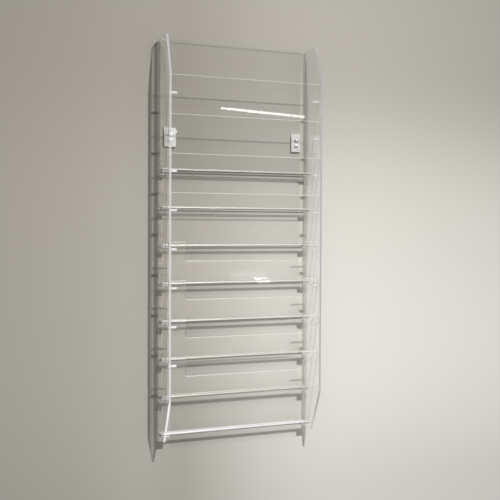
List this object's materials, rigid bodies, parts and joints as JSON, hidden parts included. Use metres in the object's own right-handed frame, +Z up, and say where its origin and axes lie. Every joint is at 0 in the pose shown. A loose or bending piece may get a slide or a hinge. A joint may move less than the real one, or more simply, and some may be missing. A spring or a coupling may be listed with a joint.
{
  "type": "magazine rack",
  "caption": "Wall-hung clear acrylic magazine rack: a stepped ladder of leaning pockets between two side panels, lower pockets with finger notches, hung from small white rail hooks.",
  "frame": {"origin": "midway between the two hooks, where the rail's top edge meets its front face", "axes": "+X along the rail to the viewer's right, +Y towards the wall, +Z up"},
  "size_m": [0.344, 0.0915, 0.846],
  "materials": {
    "side_sheet": "clear cast acrylic, polished edges",
    "tray_sheet": "clear cast acrylic, hot bent, polished edges",
    "back_sheet": "clear cast acrylic",
    "joint_blocks": "clear acrylic, cemented",
    "hook_coating": "white powder coat, satin",
    "screw_steel": "plain steel"
  },
  "bodies": {
    "root": {"side_panel_left": "side_sheet", "side_panel_right": "side_sheet", "pocket_tray_1": "tray_sheet", "pocket_tray_2": "tray_sheet", "pocket_tray_3": "tray_sheet", "pocket_tray_4": "tray_sheet", "pocket_tray_5": "tray_sheet", "pocket_tray_6": "tray_sheet", "pocket_tray_7": "tray_sheet", "pocket_tray_8": "tray_sheet", "back_panel": "back_sheet", "floor_rests_1": "joint_blocks", "floor_rests_2": "joint_blocks", "floor_rests_3": "joint_blocks", "floor_rests_4": "joint_blocks", "floor_rests_5": "joint_blocks", "floor_rests_6": "joint_blocks", "floor_rests_7": "joint_blocks", "floor_rests_8": "joint_blocks", "front_stops_1": "joint_blocks", "front_stops_2": "joint_blocks", "front_stops_3": "joint_blocks", "front_stops_4": "joint_blocks", "front_stops_5": "joint_blocks", "front_stops_6": "joint_blocks", "front_stops_7": "joint_blocks", "front_stops_8": "joint_blocks", "hook_left": "hook_coating", "hook_right": "hook_coating", "hook_screws_left": "screw_steel", "hook_screws_right": "screw_steel"}
  },
  "joints": []
}
